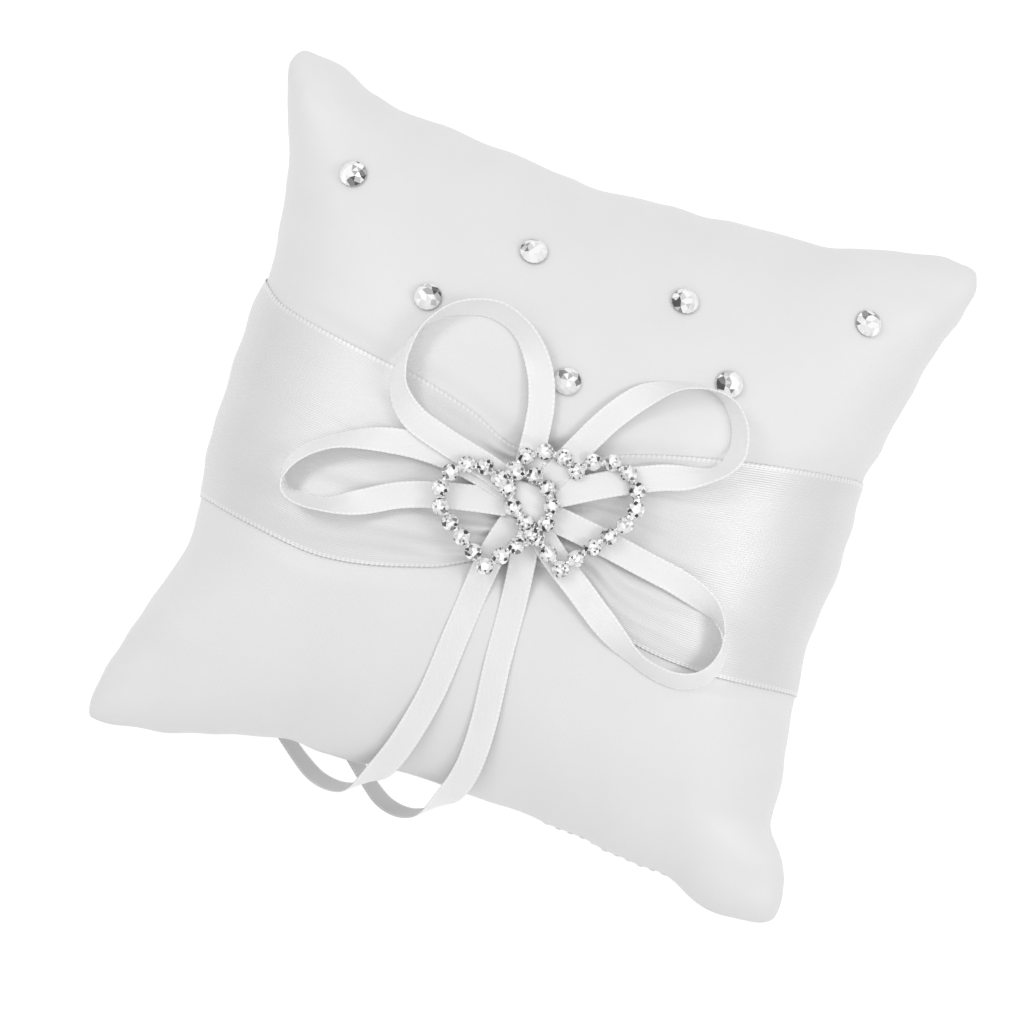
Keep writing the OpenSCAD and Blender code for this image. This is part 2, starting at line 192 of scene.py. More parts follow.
def join_rings(bm, a, b):
    n = len(a)
    return [bm.faces.new((a[k], a[(k + 1) % n], b[(k + 1) % n], b[k])) for k in range(n)]


def loft(bm, rings):
    """Skin over these rings, closed at both ends."""
    for a, b in zip(rings, rings[1:]):
        join_rings(bm, a, b)
    bm.faces.new(rings[0][::-1])
    bm.faces.new(rings[-1])


def skin_grid(bm, grid, facing):
    """Square faces over rows of vertices, which face up or down."""
    for a, b in zip(grid, grid[1:]):
        for j in range(len(a) - 1):
            quad = (a[j], b[j], b[j + 1], a[j + 1])
            bm.faces.new(quad if facing > 0 else quad[::-1])


def lay_cloth(bm, uv, place_of):
    """Gives every vertex its place on the flat cloth, in metres."""
    for face in bm.faces:
        for loop in face.loops:
            loop[uv].uv = place_of(loop.vert)


def new_cloth():
    """An empty bmesh and its UV layer."""
    bm = bmesh.new()
    return bm, bm.loops.layers.uv.new("UVMap")


# ---- the camera, at the photograph's angle ----

VIEW_HEIGHT = 87
VIEW_ROLL = 17.453
VIEW_DISTANCE = 0.650
VIEW_TARGET = Vector((0, 0, 0.024))
VIEW_SHIFT = (-0.0243, -0.0225)
LENS = 105.8
SENSOR_WIDTH = 36


def add_camera():
    data = bpy.data.cameras.new("camera")
    data.sensor_width = SENSOR_WIDTH
    data.lens = LENS
    data.shift_x, data.shift_y = VIEW_SHIFT
    data.clip_end = 20
    camera = bpy.data.objects.new("camera", data)
    bpy.context.scene.collection.objects.link(camera)
    rise = radians(VIEW_HEIGHT)
    back = Vector((0, -cos(rise), sin(rise)))
    up = Vector((0, sin(rise), cos(rise)))
    roll = radians(VIEW_ROLL)
    right = cos(roll) * Vector((1, 0, 0)) + sin(roll) * up
    camera_up = back.cross(right)
    turn = Matrix((right, camera_up, back)).transposed().to_4x4()
    camera.matrix_world = Matrix.Translation(VIEW_TARGET + VIEW_DISTANCE * back) @ turn
    bpy.context.scene.camera = camera


add_camera()

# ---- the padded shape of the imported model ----


def crown(u, v):
    return max(0.0, (1 - u * u) * (1 - v * v)) ** FULLNESS


def dip(x, y):
    away = hypot(x - DIMPLE_AT[0], y - DIMPLE_AT[1]) / DIMPLE_R
    return DIMPLE * exp(-away * away)


def model_top(x, y):
    """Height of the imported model's front panel over a plan point."""
    u = v = 0.0
    for _ in range(7):
        u, v = (
            x / (HALF_W - (PULL_LEFT if x < 0 else PULL_RIGHT) * (1 - v * v)),
            y / (HALF_D - (PULL_NEAR if y < 0 else PULL_FAR) * (1 - u * u)),
        )
        u, v = max(-1.0, min(1.0, u)), max(-1.0, min(1.0, v))
    swell = crown(u, v)
    return SEAM_Z + FRONT_RISE * swell - dip(x, y) * swell


# Far and near edge of the band on the front, and on the back
BAND_FAR = [(-0.07, 0.026), (-0.062, 0.0205), (-0.038, 0.015), (-0.03, 0.014), (-0.016, 0.01),
            (-0.006, 0.006), (0.006, 0.007), (0.02, 0.012), (0.041, 0.0172), (0.067, 0.022)]
BAND_NEAR = [(-0.07, -0.023), (-0.056, -0.026), (-0.038, -0.028), (-0.016, -0.0235), (-0.003, -0.018),
             (0.008, -0.0165), (0.018, -0.019), (0.025, -0.024), (0.034, -0.0266), (0.048, -0.0274),
             (0.067, -0.026)]
BAND_BACK_FAR = [(-0.07, 0.026), (0.067, 0.022)]
BAND_BACK_NEAR = [(-0.07, -0.023), (0.067, -0.026)]


def fold_h(x):
    """Height of the band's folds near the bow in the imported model."""
    return GATHER_H * exp(-((x - DIMPLE_AT[0]) / GATHER_R) ** 2)


def on_band(x, y, soft_edge=0.003):
    """1 over the band on the front, 0 away from it."""
    return ramp((lookup(x, BAND_FAR) - y) / soft_edge + 1) * ramp((y - lookup(x, BAND_NEAR)) / soft_edge + 1)


def cloth_top(x, y):
    return model_top(x, y) + GAP + on_band(x, y) * (BAND_T + fold_h(x))


# ---- materials ----


class Nodes:
    """Short names for building a material's node tree."""

    def __init__(self, name):
        self.material = bpy.data.materials.new(name)
        self.material.use_nodes = True
        self.tree = self.material.node_tree
        self.shader = self.tree.nodes["Principled BSDF"]

    def add(self, kind, **inputs):
        node = self.tree.nodes.new(kind)
        for key, value in inputs.items():
            node.inputs[key.replace("_", " ")].default_value = value
        return node

    def link(self, a, b):
        self.tree.links.new(a, b)

    def grain(self, scale, detail, roughness=0.5):
        """Noise through the piece, from 0 to 1."""
        place = self.add("ShaderNodeTexCoord")
        node = self.add("ShaderNodeTexNoise", Scale=scale, Detail=detail, Roughness=roughness)
        self.link(place.outputs["Object"], node.inputs["Vector"])
        return node.outputs["Fac"]

    def math(self, operation, a, b=None):
        node = self.add("ShaderNodeMath")
        node.operation = operation
        for i, value in enumerate((a, b)):
            if value is None:
                continue
            if isinstance(value, (int, float)):
                node.inputs[i].default_value = value
            else:
                self.link(value, node.inputs[i])
        return node.outputs[0]

    def set(self, **values):
        for key, value in values.items():
            self.shader.inputs[key.replace("_", " ")].default_value = value

    def bump(self, height, strength, distance):
        node = self.add("ShaderNodeBump", Strength=strength, Distance=distance)
        self.link(height, node.inputs["Height"])
        self.link(node.outputs["Normal"], self.shader.inputs["Normal"])

    def tones(self, value, low, high, dark, light):
        """Base colour between two greys as value goes from low to high."""
        node = self.add("ShaderNodeMapRange", From_Min=low, From_Max=high)
        self.link(value, node.inputs["Value"])
        colour = self.add("ShaderNodeMix")
        colour.data_type = "RGBA"
        colour.inputs[6].default_value = (*dark, 1)
        colour.inputs[7].default_value = (*light, 1)
        self.link(node.outputs["Result"], colour.inputs[0])
        self.link(colour.outputs[2], self.shader.inputs["Base Color"])
        return colour.outputs[2]

    def lay_over(self, below, share, tone):
        """Puts a grey over the base colour where share is 1."""
        colour = self.add("ShaderNodeMix")
        colour.data_type = "RGBA"
        self.link(below, colour.inputs[6])
        colour.inputs[7].default_value = (tone, tone, tone, 1)
        self.link(share, colour.inputs[0])
        self.link(colour.outputs[2], self.shader.inputs["Base Color"])


def grey(tone, blue=0.005):
    return tone, tone, tone + blue


def stripes(n, axis_value, pitch):
    """A wave from -1 to 1 with this pitch along a coordinate in metres."""
    return n.math("SINE", n.math("MULTIPLY", axis_value, tau / pitch))


def cloth_material(name, dark, light, roughness, gloss, warp, weft, depth, half_width=0.0, picot=0.0,
                   shine=0.0, through=0.0):
    """Woven satin: UV coordinates are metres of cloth, warp and weft are thread pitches.
    half_width puts a row of light picots at that distance from the middle of a ribbon, picot is
    their tone, shine the share of satin floats and through the light that a thin cloth lets in."""
    n = Nodes(name)
    uv = n.add("ShaderNodeUVMap")
    apart = n.add("ShaderNodeSeparateXYZ")
    n.link(uv.outputs["UV"], apart.inputs[0])
    threads = n.math("ADD", n.math("MULTIPLY", stripes(n, apart.outputs["Y"], warp), 0.85),
                     n.math("MULTIPLY", stripes(n, apart.outputs["X"], weft), 0.15))
    slubs = n.add("ShaderNodeTexNoise", Scale=900.0, Detail=2.0)
    n.link(uv.outputs["UV"], slubs.inputs["Vector"])
    height = n.math("ADD", threads, n.math("MULTIPLY", slubs.outputs["Fac"], 0.8))
    n.bump(height, 0.5, depth)
    patches = n.add("ShaderNodeTexNoise", Scale=60.0, Detail=3.0)
    n.link(uv.outputs["UV"], patches.inputs["Vector"])
    value = n.math("ADD", n.math("MULTIPLY", threads, 0.15), patches.outputs["Fac"])
    cloth = n.tones(value, 0.2, 0.9, dark, light)
    if half_width:
        n.lay_over(cloth, picot_row(n, apart, half_width), picot)
    n.set(Roughness=roughness, Sheen_Weight=0.1, Sheen_Roughness=0.35, Specular_IOR_Level=gloss,
          Metallic=shine, Subsurface_Weight=through, Subsurface_Scale=THROUGH_DEPTH,
          Subsurface_Radius=(1, 1, 1))
    return n.material


def picot_row(n, apart, half_width):
    """1 on the picots of both edges of a ribbon, 0 between them and away from the edges."""
    inward = n.math("SUBTRACT", half_width, n.math("ABSOLUTE", apart.outputs["Y"]))
    edge = n.math("LESS_THAN", inward, PICOT_ROW + half_width * PICOT_SHARE)
    beads = n.math("ADD", n.math("MULTIPLY", stripes(n, apart.outputs["X"], PICOT_PITCH), 0.5), 0.5)
    return n.math("MULTIPLY", edge, beads)


def thread_material(name):
    n = Nodes(name)
    twist = n.grain(4000.0, 1.0)
    n.tones(twist, 0.3, 0.7, grey(0.74, 0), grey(0.88, 0))
    n.bump(twist, 0.6, 0.00008)
    n.set(Roughness=0.6, Sheen_Weight=0.2)
    return n.material


def fibre_material(name):
    n = Nodes(name)
    fluff = n.grain(500.0, 6.0, 0.8)
    n.tones(fluff, 0.3, 0.7, grey(0.72, 0), grey(0.9, 0))
    n.bump(fluff, 1.0, 0.0006)
    n.set(Roughness=0.95)
    return n.material


def silver_material(name):
    n = Nodes(name)
    # random mottling: one noise sets both the plate's grey, from 0.52 to 0.97, and its roughness
    mottle = n.grain(1800.0, 3.0)
    n.tones(mottle, 0.4, 0.6, grey(0.52, 0.01), grey(0.97, 0.01))
    rough = n.add("ShaderNodeMapRange", To_Min=0.12, To_Max=0.3)
    n.link(mottle, rough.inputs["Value"])
    n.link(rough.outputs["Result"], n.shader.inputs["Roughness"])
    n.set(Metallic=1.0)
    return n.material


def painted_glint_material(name, dark, light, foil):
    """Foil-backed glass with painted reflections: each facet's tone, from dark to bright, stands in for the
    glint it would show.
    """
    n = Nodes(name)
    facet = n.add("ShaderNodeAttribute")
    facet.attribute_name = "facet"
    n.tones(facet.outputs["Fac"], 0.0, 1.0, dark, light)
    n.set(Metallic=foil, Roughness=0.08, Coat_Weight=0.6, Coat_Roughness=0.02)
    return n.material


def glue_material(name):
    n = Nodes(name)
    ripples = n.grain(1500.0, 1.0)
    n.tones(ripples, 0.3, 0.7, grey(0.7, -0.01), grey(0.8, -0.01))
    n.bump(ripples, 0.3, 0.0001)
    n.set(Roughness=0.15)
    return n.material


SELVEDGE = 0.00045
PICOT_PITCH = 0.00105
PICOT_ROW = 0.0005
PICOT_SHARE = 0.02
THROUGH_DEPTH = 0.0008

COVER_SATIN = cloth_material("cover_satin", grey(0.775), grey(0.805), 0.5, 0.4,
                             0.00033, 0.00045, 0.00002, shine=0.06)
BAND_SATIN = cloth_material("band_satin", grey(0.715), grey(0.765), 0.36, 0.5,
                            0.00052, 0.0008, 0.00003, BAND_FULL_W / 2, 0.84, shine=0.14)
BOW_SATIN = cloth_material("bow_satin", grey(0.865), grey(0.905), 0.36, 0.5,
                           0.00045, 0.0006, 0.00002, RIBBON_W / 2, 0.95, through=0.35)
# Painted shade: a darker grey for the tails' side that turns under the pillow, standing in for the shadow of
# its edge
BOW_SATIN_PAINTED_SHADE = cloth_material("bow_satin_painted_shade", grey(0.58), grey(0.63), 0.6, 0.2,
                                0.00045, 0.0006, 0.00002, RIBBON_W / 2, 0.72)
THREAD = thread_material("thread")
FIBRE = fibre_material("fibre_fill")
SILVER = silver_material("silver_plate")
RHINESTONE = painted_glint_material("rhinestone", grey(0.06, 0.01), grey(1.0, 0), 0.3)
FLAT_CRYSTAL = painted_glint_material("flat_crystal", grey(0.08, 0.01), grey(1.0, 0), 0.3)
GLUE = glue_material("clear_glue")

# ---- narrow ribbon: loops and tails ----

PICOT_DEPTH = 0.00006
RIBBON_THICK = 0.00028
# How high the middle of a ribbon curls over its edges
RIBBON_CUP = 0.0001
RIBBON_LINES = 6


def even_samples(samples, pitch):
    """(distance, point, across, through) at even distances along (point, across, through) samples."""
    reach = distances([sample[0] for sample in samples])
    out = []
    for s, k, share in even_steps(reach, max(8, round(reach[-1] / pitch))):
        point, across, through = (a.lerp(b, share) for a, b in zip(samples[k], samples[k + 1]))
        out.append((s, point, across.normalized(), through.normalized()))
    return out


def ribbon_columns(width, inner):
    """Places across a ribbon from -1 to 1: its edges, its selvedges and the cloth between."""
    woven = 1 - 2 * SELVEDGE / width
    middle = [woven * (2 * k / inner - 1) for k in range(inner + 1)]
    return [-1.0, -(1 + woven) / 2, *middle, (1 + woven) / 2, 1.0]


def ribbon_mesh(name, samples, end_cut=0.0, back=None):
    """A woven ribbon along samples, with picot edges. end_cut slants its last end, and back is the
    material of the side that through points away from: on the tails a darker grey, painted shade of the
    pillow's edge."""
    rings = even_samples(samples, PICOT_PITCH / 4)
    columns = ribbon_columns(RIBBON_W, RIBBON_LINES)
    woven = 1 - 2 * SELVEDGE / RIBBON_W
    total = rings[-1][0]
    bm, uv = new_cloth()
    rows = []
    places = {}
    for s, point, across, through in rings:
        forward = across.cross(through)
        slant = end_cut * ramp((s - total + 0.012) / 0.012)
        picot = 0.5 + 0.5 * sin(tau * s / PICOT_PITCH)
        row = []
        for side in (1, -1):
            for c in (columns if side == 1 else reversed(columns)):
                edge = abs(c) == 1
                half = RIBBON_W / 2 + (PICOT_DEPTH * (picot - 0.6) if edge else 0)
                bulge = 0.55 if edge else (1.3 if abs(c) > woven + 1e-6 else 1.0)
                lift = side * bulge * RIBBON_THICK / 2 + RIBBON_CUP * (1 - c * c)
                corner = point + across * c * half + through * lift + forward * slant * c * RIBBON_W
                vert = bm.verts.new(corner)
                places[vert] = (s, c * RIBBON_W / 2)
                row.append(vert)
        rows.append(row)
    ring_size = len(rows[0])
    half_ring = ring_size // 2
    for a, b in zip(rows, rows[1:]):
        for k in range(ring_size):
            m = (k + 1) % ring_size
            face = bm.faces.new((a[k], a[m], b[m], b[k]))
            # with back given, the half of the ring on the far side of through takes the painted-shade
            # material
            face.material_index = 1 if back and k >= half_ring else 0
    for row, turned in ((rows[0], True), (rows[-1], False)):
        for k in range(half_ring - 1):
            quad = (row[k], row[k + 1], row[ring_size - 2 - k], row[ring_size - 1 - k])
            bm.faces.new(quad[::-1] if turned else quad)
    bmesh.ops.recalc_face_normals(bm, faces=bm.faces[:])
    lay_cloth(bm, uv, places.get)
    return new_object(name, bm, [BOW_SATIN, back] if back else [BOW_SATIN])


# Routes seen from above, and how far each loop's raised edge leans over its lower edge
LOOPS = {
    "upper_left_loop": (
        [(-0.003, 0.0), (-0.0036, 0.0095), (-0.0046, 0.0165), (-0.0072, 0.023), (-0.012, 0.0288),
         (-0.018, 0.0316), (-0.024, 0.031), (-0.0295, 0.028), (-0.0336, 0.0225), (-0.0348, 0.016),
         (-0.0334, 0.0096), (-0.029, 0.0052), (-0.022, 0.0026), (-0.013, 0.0002), (-0.0055, -0.002)],
        (0.002, 0.0032), 2),
    "left_loop": (
        [(-0.005, -0.0035), (-0.014, -0.0012), (-0.024, -0.0002), (-0.033, -0.001), (-0.041, -0.0034),
         (-0.047, -0.0068), (-0.0506, -0.0106), (-0.0514, -0.0142), (-0.0494, -0.017),
         (-0.045, -0.0179), (-0.04, -0.0172), (-0.034, -0.0148), (-0.026, -0.0108),
         (-0.016, -0.008), (-0.005, -0.006)],
        (0.0012, -0.0026), 1),
    "upper_right_loop": (
        [(0.0015, 0.0), (0.0065, 0.0105), (0.0106, 0.0178), (0.0156, 0.024), (0.0215, 0.0279),
         (0.0278, 0.0294), (0.033, 0.028), (0.0366, 0.0237), (0.0376, 0.018), (0.0352, 0.0134),
         (0.0296, 0.0104), (0.023, 0.0082), (0.014, 0.004), (0.004, -0.0015)],
        (0.0034, -0.0004), 2),
    "lower_right_loop": (
        [(0.0015, -0.0085), (0.008, -0.014), (0.015, -0.019), (0.021, -0.0233), (0.027, -0.0272),
         (0.033, -0.0298), (0.039, -0.0306), (0.0435, -0.0294), (0.0464, -0.0262),
         (0.0472, -0.0218), (0.0456, -0.0174), (0.0416, -0.0138), (0.0345, -0.0112),
         (0.026, -0.0096), (0.015, -0.0076), (0.004, -0.006)],
        (-0.0016, 0.0029), 1),
}
FLAT_SHARE = 0.15
UPRIGHT_SHARE = 0.33
ROUTE_STEPS = 12
KNOT_AT = Vector((-0.0005, -0.0045, 0.0509))


def loop_samples(route, lean, layer):
    """The loop lies flat under the buckle and then stands up on its edge."""
    flat = through_points([(x, y, 0) for x, y in route], ROUTE_STEPS)
    last = len(flat) - 1
    rise = sqrt(RIBBON_W**2 - lean[0] ** 2 - lean[1] ** 2)
    upright = Vector((lean[0], lean[1], rise)) / RIBBON_W
    stands = [ramp((min(i, last - i) / last - FLAT_SHARE) / (UPRIGHT_SHARE - FLAT_SHARE))
              for i in range(last + 1)]
    path = []
    for p, s in zip(flat, stands):
        lift = (1 - s) * layer * LAYER_H + s * rise / 2
        path.append(Vector((p.x, p.y, cloth_top(p.x, p.y) + RIBBON_T / 2 + lift)))
    samples = []
    for i, s in enumerate(stands):
        t = direction(path, i)
        square = UP.cross(t).normalized()
        level = square * copysign(1, square.x * lean[0] + square.y * lean[1])
        through = t.cross(upright * s + level * (1 - s)).normalized()
        samples.append((path[i], through.cross(t), through))
    return samples


def add_ribbon(name, samples, far_end, **finish):
    """A ribbon of the bow, as a piece."""
    obj = ribbon_mesh("satin_" + name, samples, **finish)
    finish_piece(obj, name)


TAILS = {
    "left_tail": [
        (-0.0025, -0.0085, 0.0502), (-0.0046, -0.016, 0.0505), (-0.0059, -0.025, 0.0484),
        (-0.007, -0.036, 0.0467), (-0.0082, -0.048, 0.0433), (-0.0104, -0.058, 0.0388),
        (-0.0128, -0.065, 0.0336), (-0.0156, -0.07, 0.028), (-0.019, -0.0732, 0.022),
        (-0.023, -0.0744, 0.016), (-0.0275, -0.0738, 0.0106), (-0.032, -0.0714, 0.0064),
        (-0.037, -0.0678, 0.0038), (-0.042, -0.0638, 0.0028), (-0.0475, -0.0592, 0.0026),
        (-0.053, -0.0546, 0.0026)],
    "right_tail": [
        (0.0008, -0.0085, 0.0502), (0.0016, -0.016, 0.0505), (0.0024, -0.025, 0.0485),
        (0.003, -0.038, 0.0463), (0.004, -0.05, 0.0426), (0.004, -0.059, 0.0382),
        (0.0028, -0.0654, 0.0334), (0.0004, -0.0704, 0.0278), (-0.0028, -0.0738, 0.022),
        (-0.0068, -0.0754, 0.016), (-0.0114, -0.0748, 0.0106), (-0.016, -0.072, 0.0064),
        (-0.021, -0.068, 0.0038), (-0.0265, -0.0632, 0.0028), (-0.032, -0.0584, 0.0026)],
}
ACROSS_ABOVE = Vector((1, -0.12, 0))
ACROSS_BELOW = Vector((0.3, 0.36, -0.88))
TURN_FROM_Z = 0.035
TURN_DEPTH = 0.015
TAIL_SETTLE = 0.0004


def add_tail(name):
    """A tail lies face up on the pillow, turns over past the seam and leans under it."""
    path = [p - UP * TAIL_SETTLE for p in through_points(TAILS[name], ROUTE_STEPS)]
    samples = []
    for i, p in enumerate(path):
        t = direction(path, i)
        below = ramp((TURN_FROM_Z - p.z) / TURN_DEPTH)
        through = t.cross(ACROSS_ABOVE.lerp(ACROSS_BELOW, below)).normalized()
        samples.append((p, through.cross(t), through))
    # the side turned under the pillow takes the darker painted-shade material
    add_ribbon(name, samples, "bare", end_cut=0.45, back=BOW_SATIN_PAINTED_SHADE)


for loop_name, (route, lean, layer) in LOOPS.items():
    add_ribbon(loop_name, loop_samples(route, lean, layer), "object")
for tail_name in TAILS:
    add_tail(tail_name)

# ---- the cover ----

# The four sides of the cover seen from above, as they are pulled in and puckered
LEFT_SIDE = [(-0.076, -0.0787), (-0.065, -0.0771), (-0.05, -0.0728), (-0.034, -0.0681), (-0.009, -0.0695),
             (0.009, -0.0697), (0.027, -0.0694), (0.038, -0.0701), (0.054, -0.074), (0.064, -0.0773),
             (0.071, -0.0796), (0.076, -0.0793)]
RIGHT_SIDE = [(-0.075, 0.0774), (-0.068, 0.0768), (-0.06, 0.0728), (-0.055, 0.0698), (-0.04, 0.0686),
              (-0.016, 0.0649), (0.0, 0.0663), (0.022, 0.0669), (0.037, 0.0702), (0.05, 0.0725),
              (0.062, 0.0764), (0.069, 0.0784), (0.076, 0.0795)]
FAR_SIDE = [(-0.0785, 0.0777), (-0.067, 0.075), (-0.059, 0.0711), (-0.043, 0.0694), (-0.033, 0.0681),
            (-0.024, 0.0676), (-0.013, 0.0665), (0.003, 0.0666), (0.029, 0.0685), (0.045, 0.0694),
            (0.055, 0.0722), (0.066, 0.0745), (0.0785, 0.0754)]
NEAR_SIDE = [(-0.0785, -0.0768), (-0.064, -0.0745), (-0.053, -0.072), (-0.035, -0.0678), (-0.025, -0.068),
             (-0.009, -0.0668), (0.013, -0.0673), (0.025, -0.0679), (0.038, -0.0699), (0.052, -0.0714),
             (0.06, -0.0746), (0.069, -0.0754), (0.0785, -0.0744)]
CORNER_X = 0.0785
CORNER_Y = 0.0760
# How far the rounding of each corner reaches, by the signs of its u and v
CORNER_CUTS = {(-1, 1): 0.028, (1, 1): 0.032, (1, -1): 0.020, (-1, -1): 0.022}
# The rounding is even when its share times its power is this
CORNER_EVEN = 0.5
JOG = 0.0007
JOG_PITCH = 0.0065


def side_at(along, knots, seed):
    """Place of one side of the cover, with the small jogs that the seam's puckers give it."""
    jog = noise.noise(Vector((along / JOG_PITCH, seed, 0.4)))
    return smooth_lookup(along, knots) + JOG * jog


def plan(u, v, grow=0.0):
    """Plan point of the square position (u, v) on the real, uneven cover."""
    cut_share = CORNER_CUTS[(1 if u > 0 else -1, 1 if v > 0 else -1)]
    cut = 1 - cut_share * abs(u * v) ** (CORNER_EVEN / cut_share)
    left = side_at(v * CORNER_Y, LEFT_SIDE, 1.7) - grow
    right = side_at(v * CORNER_Y, RIGHT_SIDE, 5.2) + grow
    near = side_at(u * CORNER_X, NEAR_SIDE, 9.6) - grow
    far = side_at(u * CORNER_X, FAR_SIDE, 14.1) + grow
    return cut * mix(left, right, (u + 1) / 2), cut * mix(near, far, (v + 1) / 2)


CRYSTAL_PLACES = [(-0.0573, 0.0516), (-0.0156, 0.0465), (-0.0338, 0.0304), (0.0179, 0.046),
                  (0.0568, 0.0542), (-0.0007, 0.0219), (0.0319, 0.0319)]
BAND_PRESS = 0.0009
BAND_PRESS_EDGE = 0.005
LUMP = 0.0007
LUMP_SIZE = 0.040
PUCKER = 0.0009
PUCKER_PITCH = 0.0075
PUCKER_REACH = 0.010


def calm(x, y):
    """0 where a crystal is glued on, 1 away from the crystals."""
    near = min(hypot(x - a, y - b) for a, b in CRYSTAL_PLACES)
    return ramp((near - 0.003) / 0.008)


def puckers(u, v, x, y):
    """Short folds that run in from the seams."""
    total = 0.0
    sides = (((1 - u) * HALF_W, y, 3.1), ((1 + u) * HALF_W, y, 7.7), ((1 - v) * HALF_D, x, 12.3),
             ((1 + v) * HALF_D, x, 18.9))
    for away, along, seed in sides:
        wave = noise.noise(Vector((along / PUCKER_PITCH, seed, away / 0.03)))
        total += wave * exp(-away / PUCKER_REACH) * (1 - exp(-away / 0.0012))
    return PUCKER * total


def front_height(u, v, x, y):
    """Height of the front panel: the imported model's, uneven like a stuffed cover."""
    swell = crown(u, v)
    by_square = SEAM_Z + FRONT_RISE * swell - dip(x, y) * swell
    inside = ramp((0.92 - max(abs(u), abs(v))) / 0.25)
    z = mix(by_square, model_top(x, y), inside)
    band = on_band(x, y, BAND_PRESS_EDGE)
    lump = LUMP * noise.noise(Vector((x / LUMP_SIZE, y / LUMP_SIZE, 4.2)))
    uneven = (lump + puckers(u, v, x, y)) * calm(x, y) * (1 - band) * min(1, swell * 6)
    return z - BAND_PRESS * band * min(1, swell * 3) + uneven


def back_height(u, v, x, y):
    swell = crown(u, v)
    z = SEAM_Z - BACK_DROP * swell
    uneven = puckers(u, v, x + 0.3, y + 0.2) * min(1, swell * 6)
    return max(REST_Z, z - uneven)


COVER_LINES = 170
CLOTH_T = 0.0004


def line_at(i, n):
    """Places from -1 to 1 that crowd towards the ends."""
    even = 2 * i / n - 1
    return mix(even, sin(pi / 2 * even), 0.75)


def add_panel(name, height, facing, node):
    """One panel of the cover as a sheet with a small thickness."""
    n = COVER_LINES
    bm, uv = new_cloth()
    grid = []
    for i in range(n + 1):
        row = []
        for j in range(n + 1):
            u, v = line_at(i, n), line_at(j, n)
            x, y = plan(u, v)
            row.append(bm.verts.new((x, y, height(u, v, x, y))))
        grid.append(row)
    skin_grid(bm, grid, facing)
    lay_cloth(bm, uv, lambda vert: vert.co.xy)
    obj = new_object(name, bm, [COVER_SATIN])
    thicken(obj, CLOTH_T)
    finish_piece(obj, node)
    return obj


def thicken(obj, thickness):
    """Gives a sheet its thickness, on the side away from its face."""
    solid = obj.modifiers.new("thickness", "SOLIDIFY")
    solid.thickness = thickness
    solid.offset = -1
    apply_modifiers(obj)


def apply_modifiers(obj):
    depsgraph = bpy.context.evaluated_depsgraph_get()
    mesh = bpy.data.meshes.new_from_object(obj.evaluated_get(depsgraph))
    obj.modifiers.clear()
    old = obj.data
    obj.data = mesh
    bpy.data.meshes.remove(old)


front = add_panel("front_cover", front_height, 1, "front_panel")
back = add_panel("back_cover", back_height, -1, "back_panel")

FILL_INSET = 0.0022
FILL_LINES = 60
FLUFF = 0.0005
FLUFF_SIZE = 0.006


def add_filling():
    """Loose fibre inside the cover, lumpy where it presses on the cloth."""
    n = FILL_LINES
    bm = bmesh.new()
    for top in (1, -1):
        grid = []
        for i in range(n + 1):
            row = []
            for j in range(n + 1):
                u, v = line_at(i, n), line_at(j, n)
                x, y = plan(u, v, -FILL_INSET)
                swell = crown(u, v)
                lump = FLUFF * swell * noise.noise(Vector((x / FLUFF_SIZE, y / FLUFF_SIZE, top * 5.0)))
                if top > 0:
                    z = SEAM_Z + (FRONT_RISE - FILL_INSET) * swell - dip(x, y) * swell - BAND_PRESS + lump
                else:
                    z = max(REST_Z + 0.0012, SEAM_Z - (BACK_DROP - FILL_INSET) * swell - lump)
                row.append(bm.verts.new((x, y, z if 0 < i < n and 0 < j < n else SEAM_Z)))
            grid.append(row)
        skin_grid(bm, grid, top)
    bmesh.ops.remove_doubles(bm, verts=bm.verts[:], dist=0.00001)
    filling = new_object("fibre_filling", bm, [FIBRE])
    finish_piece(filling, "stuffing")


add_filling()

# ---- the wide band ----

BAND_LENGTH_STEPS = 1000
BAND_LINES = 44
FINE_STEPS = 1440
BAND_CLOTH_T = 0.0003
BAND_CLEAR = 0.0002
BAND_WRAP = 0.0010
BAND_REACH = HALF_W - 0.0095
PLEATS = 4.5
PLEAT_SHARE = 0.35
PLEAT_REACH = 0.034


def pleat_height(x, t):
    """Folds of the gathered band, which run out from the bow."""
    width = lookup(x, BAND_FAR) - lookup(x, BAND_NEAR)
    spare = max(0.0, BAND_FULL_W / width - 1)
    deep = PLEAT_SHARE * width / (pi * PLEATS) * sqrt(spare)
    fade = exp(-((x - DIMPLE_AT[0]) / PLEAT_REACH) ** 2)
    warp = 0.35 * noise.noise(Vector((x / 0.030, t * 1.2, 2.5)))
    side = 0.9 if x < 0 else 2.3
    wave = sin(pi * PLEATS * (t + warp) + side)
    edge = ramp((1 - abs(t)) / 0.12)
    return deep * fade * edge * (wave + 0.4 * sin(2.3 * pi * PLEATS * (t - warp) + side))


def band_point(a, t):
    """Point of the band's outer face: a runs round it, t from its near to its far edge."""
    front_side = sin(a) >= 0
    u = cos(a)
    x = u * BAND_REACH
    near = smooth_lookup(x, BAND_NEAR if front_side else BAND_BACK_NEAR)
    far = smooth_lookup(x, BAND_FAR if front_side else BAND_BACK_FAR)
    y = mix(near, far, (t + 1) / 2)
    low, high = smooth_lookup(u * CORNER_X, NEAR_SIDE), smooth_lookup(u * CORNER_X, FAR_SIDE)
    v = 2 * (y - low) / (high - low) - 1
    px, _ = plan(u, v, BAND_WRAP * u * u * (1 - 0.6 * t**4))
    over = BAND_CLEAR + BAND_CLOTH_T
    if front_side:
        z = front_height(u, v, px, y) + over * (1 - u**8)
        rise = fold_h(px) * 0.75 + BAND_PRESS * 0.5 * ramp(sin(a) * 3)
        z += rise * ramp((1 - abs(t)) / 0.3) + pleat_height(px, t) * ramp(sin(a) * 3)
    else:
        z = max(0.0002, back_height(u, v, px, y) - over * (1 - u**8))
    return Vector((px, y, z))


